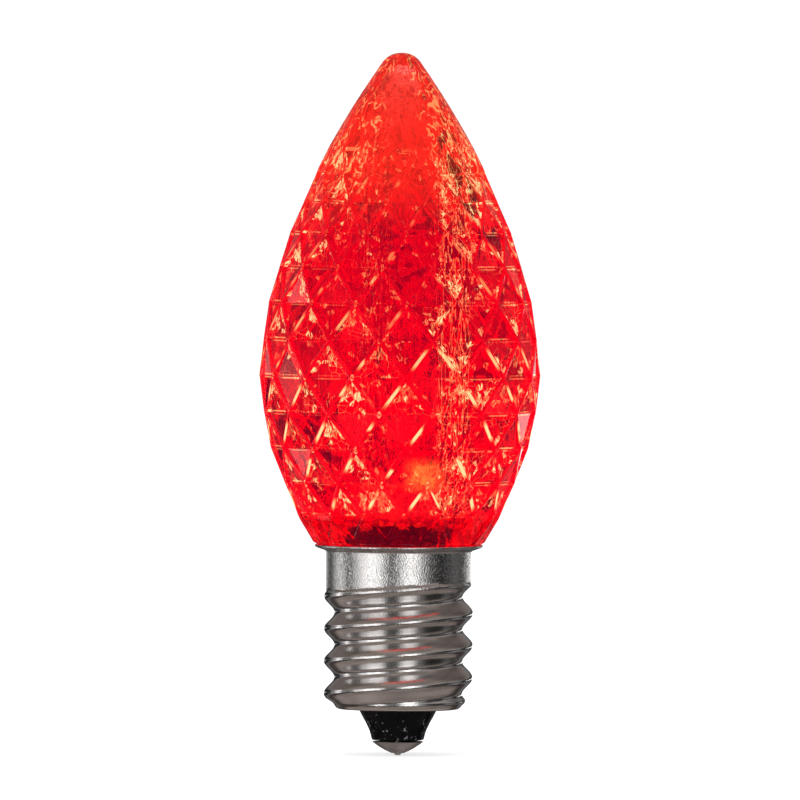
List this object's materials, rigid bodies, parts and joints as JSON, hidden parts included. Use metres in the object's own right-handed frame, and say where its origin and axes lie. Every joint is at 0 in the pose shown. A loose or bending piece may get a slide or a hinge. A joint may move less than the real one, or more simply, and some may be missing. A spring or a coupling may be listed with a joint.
{
  "type": "faceted led lamp",
  "caption": "Lit decoration lamp with a flame-shaped, transparent red lens cut in triangular facets, on a nickel-plated candelabra screw base with a black insulator and a centre contact.",
  "frame": {"origin": "flat tip of the solder nub in the middle of the centre contact, on the lamp's axis", "axes": "+Z along the lamp's axis from the centre contact to the lens's point; -Y faces the viewer of the picture"},
  "size_m": [0.022, 0.022, 0.0552],
  "materials": {
    "red_lens": "clear red moulded plastic, polished facets, lit from inside",
    "nickel": "nickel plate on rolled sheet, fine satin grain",
    "black_insulator": "glossy black moulding",
    "contact_metal": "dull tinned metal",
    "solder": "dull solder",
    "glue": "cured adhesive",
    "board": "circuit board with a dark green coat",
    "led_epoxy": "red-tinted clear epoxy, lit",
    "tinned_wire": "tinned wire",
    "resistor_enamel": "enamelled film resistor",
    "diode_moulding": "black moulded diode"
  },
  "bodies": {
    "root": {"lens": "red_lens", "screw_shell": "nickel", "base_insulator": "black_insulator", "contact_cap": "contact_metal", "solder_tip": "solder", "adhesive_bead": "glue", "led_board": "board", "led_1": "led_epoxy", "led_2": "led_epoxy", "led_3": "led_epoxy", "led_1_anode": "tinned_wire", "led_1_anode_solder": "solder", "led_1_cathode": "tinned_wire", "led_1_cathode_solder": "solder", "led_2_anode": "tinned_wire", "led_2_anode_solder": "solder", "led_2_cathode": "tinned_wire", "led_2_cathode_solder": "solder", "led_3_anode": "tinned_wire", "led_3_anode_solder": "solder", "led_3_cathode": "tinned_wire", "led_3_cathode_solder": "solder", "resistor": "resistor_enamel", "resistor_lead": "tinned_wire", "resistor_solder": "solder", "centre_wire": "tinned_wire", "diode": "diode_moulding", "diode_lead": "tinned_wire", "diode_solder": "solder", "side_wire": "tinned_wire", "side_solder": "solder"}
  },
  "joints": []
}
